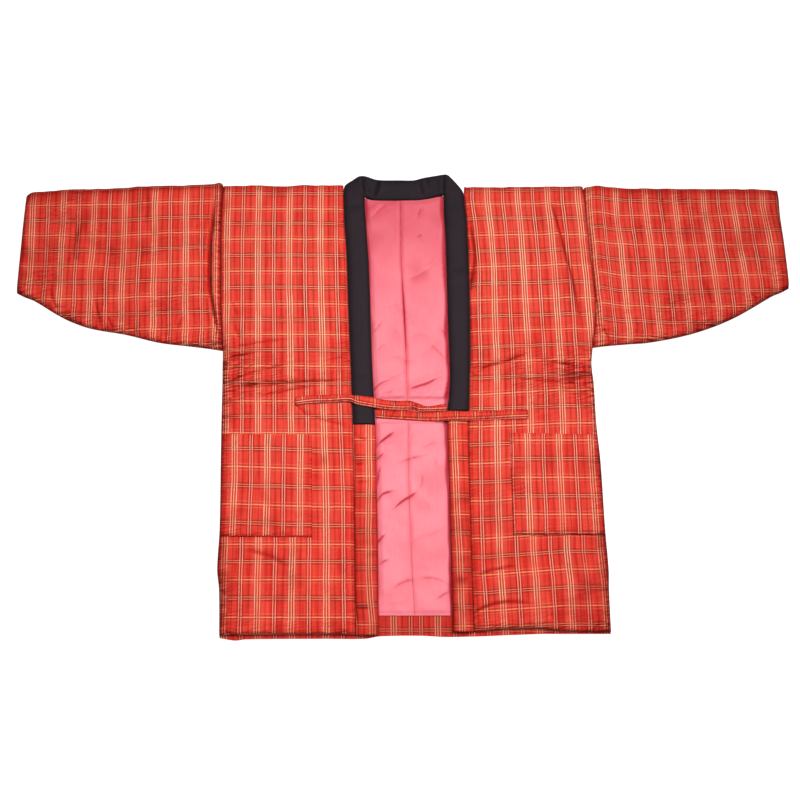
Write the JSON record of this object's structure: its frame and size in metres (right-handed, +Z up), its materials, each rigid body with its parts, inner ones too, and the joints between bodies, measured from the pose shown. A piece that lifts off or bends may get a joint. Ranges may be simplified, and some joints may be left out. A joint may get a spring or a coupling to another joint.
{
  "type": "hanten",
  "caption": "Padded cotton jacket laid flat with its fronts up: plaid cloth, black neck band, pink lining, patch pockets and cloth ties.",
  "frame": {"origin": "on the floor, in the middle of the box round the jacket", "axes": "+X towards the wearer's left sleeve, +Y from the hem to the neck, +Z up out of the fronts"},
  "size_m": [1.395, 0.8455, 0.0265],
  "materials": {
    "plaid_cotton": "matte",
    "black_cotton": "satin",
    "pink_lining": "satin"
  },
  "bodies": {
    "root": {"body_right": "plaid_cotton", "body_left": "plaid_cotton", "sleeve_right": "plaid_cotton", "sleeve_left": "plaid_cotton", "band_right": "plaid_cotton", "band_left": "plaid_cotton", "pocket_right": "plaid_cotton", "pocket_left": "plaid_cotton", "tie_right": "plaid_cotton", "tie_left": "plaid_cotton", "collar": "black_cotton", "lining_right": "pink_lining", "lining_left": "pink_lining"}
  },
  "joints": []
}
